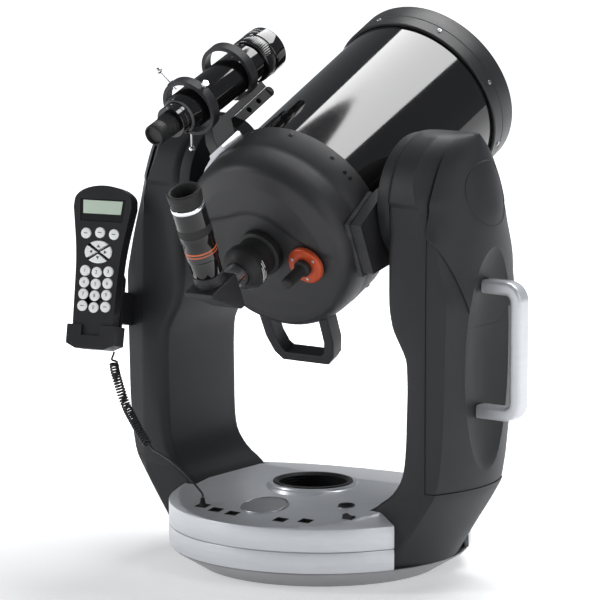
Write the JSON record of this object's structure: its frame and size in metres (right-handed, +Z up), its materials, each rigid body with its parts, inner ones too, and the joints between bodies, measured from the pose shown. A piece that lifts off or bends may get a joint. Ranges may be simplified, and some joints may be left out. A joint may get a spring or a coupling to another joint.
{
  "type": "fork-mounted schmidt-cassegrain telescope",
  "caption": "Fork-mounted reflector-lens telescope tube on a turning silver base, with finder, diagonal eyepiece, orange focuser plate and a hand control on a curly lead.",
  "frame": {"origin": "on the azimuth axis at the flat underside of the base pan", "axes": "+Z up; +X towards the arm with the carry handle, along the altitude axis; +Y the way the tube looks; -Y towards the observer"},
  "size_m": [0.595, 0.5967, 0.6834],
  "materials": {
    "silver_paint": "satin metallic paint",
    "grey_pan": "satin grey",
    "graphite_casting": "fine textured graphite paint",
    "graphite_cover": "fine textured graphite",
    "black_plastic": "satin black",
    "cell_paint": "wrinkle-textured dark grey paint",
    "tube_enamel": "deep gloss black",
    "black_rubber": "matt black",
    "cord_jacket": "semi-gloss black",
    "steel": "turned steel",
    "bright_steel": "polished",
    "anodised_rail": "bright anodised",
    "brass": "machined",
    "orange_anodised": "orange-red anodised",
    "coated_glass": "coated optical glass",
    "mirror_coat": "front-surface mirror",
    "key_silicone": "satin white silicone",
    "circuit_board": "solder-masked board",
    "display_face": "clear window over a pale green display"
  },
  "bodies": {
    "base": {"base_pan": "grey_pan", "azimuth_gear": "brass", "azimuth_spindle": "steel"},
    "fork": {"azimuth_bearing": "steel", "drive_base": "silver_paint", "top_cover": "silver_paint", "centre_well": "black_plastic", "port_board": "circuit_board", "panel_disc": "grey_pan", "power_socket": "black_rubber", "azimuth_motor": "black_rubber", "right_arm": "graphite_casting", "right_arm_cover": "graphite_cover", "right_arm_cap": "graphite_cover", "left_arm": "graphite_casting", "left_arm_cover": "graphite_cover", "carry_handle": "silver_paint", "right_bearing": "steel", "left_bearing": "steel", "altitude_motor": "black_rubber", "control_holder": "black_plastic", "cord_coil": "cord_jacket", "cord_lead": "cord_jacket", "cord_plug": "cord_jacket"},
    "azimuth_drive": {"azimuth_worm": "steel"},
    "altitude_drive": {"altitude_worm": "steel"},
    "rocker": {"power_switch": "black_rubber"},
    "tube": {"right_trunnion": "cell_paint", "left_trunnion": "cell_paint", "altitude_gear": "brass", "rear_cell": "cell_paint", "rear_handle": "black_plastic", "optical_tube": "tube_enamel", "front_cell": "cell_paint", "corrector_plate": "coated_glass", "retaining_ring": "cell_paint", "secondary_holder": "black_rubber", "secondary_mirror": "mirror_coat", "baffle_tube": "black_rubber", "visual_back": "black_rubber", "focuser_plate": "orange_anodised", "finder_base": "anodised_rail", "finder_bracket": "cell_paint", "bracket_clamp": "black_rubber", "finder_tube": "tube_enamel"},
    "mirror_cell": {"primary_mirror": "mirror_coat"},
    "focuser": {"focus_knob": "black_rubber"},
    "back_screw": {"back_thumbscrew": "bright_steel"},
    "diagonal": {"star_diagonal": "black_plastic"},
    "eyepiece": {"eyepiece": "tube_enamel"},
    "objective": {"finder_objective": "tube_enamel"},
    "ocular": {"finder_eyepiece": "black_rubber"},
    "top_screw": {"finder_screw_top": "bright_steel"},
    "side_screw": {"finder_screw_left": "bright_steel"},
    "plunger": {"finder_plunger": "bright_steel"},
    "bracket_knob": {"clamp_knob": "black_rubber"},
    "hand_control": {"control_case": "black_plastic", "control_back": "black_plastic", "display_window": "display_face"},
    "key_mat": {"keypad": "key_silicone"}
  },
  "joints": [
    {"name": "azimuth_turn", "type": "hinge", "parent": "base", "child": "fork", "pos_m": [0, 0, 0], "axis": [0, 0, 1], "continuous": true},
    {"name": "azimuth_worm_turn", "type": "hinge", "parent": "fork", "child": "azimuth_drive", "pos_m": [0, -0.1, 0.0135], "axis": [1, 0, 0], "continuous": true},
    {"name": "altitude_tilt", "type": "hinge", "parent": "fork", "child": "tube", "pos_m": [0, 0, 0.47], "axis": [1, 0, 0], "range_deg": [-34.4, 65.6]},
    {"name": "altitude_worm_turn", "type": "hinge", "parent": "fork", "child": "altitude_drive", "pos_m": [0.176, 0, 0.407], "axis": [0, 1, 0], "range_deg": [-1040, 1980]},
    {"name": "power_rock", "type": "hinge", "parent": "fork", "child": "rocker", "pos_m": [0.125, -0.1155, 0.089], "axis": [0, 1, 0], "range_deg": [-20, 0]},
    {"name": "focus_turn", "type": "hinge", "parent": "tube", "child": "focuser", "pos_m": [0.063, 0.00801, 0.45233], "axis": [0, 0.9107, 0.4131], "range_deg": [-3600, 3600]},
    {"name": "mirror_travel", "type": "slide", "parent": "tube", "child": "mirror_cell", "axis": [0, 0.9107, 0.4131], "range_m": [-0.0079, 0.0079]},
    {"name": "back_screw_turn", "type": "hinge", "parent": "tube", "child": "back_screw", "pos_m": [0, -0.14033, 0.39931], "axis": [-1, 0, 0], "range_deg": [-1080, 0]},
    {"name": "diagonal_turn", "type": "hinge", "parent": "tube", "child": "diagonal", "pos_m": [0, 0.00264, 0.46417], "axis": [0, 0.9107, 0.4131], "range_deg": [-90, 90]},
    {"name": "eyepiece_pull", "type": "slide", "parent": "diagonal", "child": "eyepiece", "axis": [0, -0.4131, 0.9107], "range_m": [0, 0.03]},
    {"name": "objective_turn", "type": "hinge", "parent": "tube", "child": "objective", "pos_m": [-0.10926, -0.05903, 0.60013], "axis": [0.0319, 0.9274, 0.3728], "range_deg": [-360, 360]},
    {"name": "ocular_turn", "type": "hinge", "parent": "tube", "child": "ocular", "pos_m": [-0.10926, -0.05903, 0.60013], "axis": [0.0319, 0.9274, 0.3728], "range_deg": [-180, 180]},
    {"name": "top_screw_turn", "type": "hinge", "parent": "tube", "child": "top_screw", "pos_m": [-0.11174, -0.11689, 0.5776], "axis": [-0.5906, -0.3334, 0.7349], "range_deg": [-1080, 1080]},
    {"name": "side_screw_turn", "type": "hinge", "parent": "tube", "child": "side_screw", "pos_m": [-0.11174, -0.11689, 0.5776], "axis": [-0.2912, 0.3952, -0.8712], "range_deg": [-1080, 1080]},
    {"name": "plunger_pull", "type": "slide", "parent": "tube", "child": "plunger", "axis": [0.6948, -0.2971, 0.655], "range_m": [0, 0.004], "stiffness_N_per_m": 400, "springref_m": -0.006},
    {"name": "bracket_knob_turn", "type": "hinge", "parent": "tube", "child": "bracket_knob", "pos_m": [-0.08133, -0.00656, 0.58201], "axis": [0, 0.9107, 0.4131], "range_deg": [-1080, 0]},
    {"name": "control_lift", "type": "slide", "parent": "fork", "child": "hand_control", "axis": [-0.0544, 0.2183, 0.9744], "range_m": [0, 0.03]},
    {"name": "key_press", "type": "slide", "parent": "hand_control", "child": "key_mat", "axis": [-0.2357, 0.9454, -0.225], "range_m": [0, 0.0008], "stiffness_N_per_m": 1500, "springref_m": -0.0006}
  ],
  "couplings": [
    {"joint": "azimuth_worm_turn", "follows": "azimuth_turn", "ratio": 30},
    {"joint": "altitude_worm_turn", "follows": "altitude_tilt", "ratio": 30},
    {"joint": "focus_turn", "follows": "mirror_travel", "rad_per_m": 7874}
  ]
}
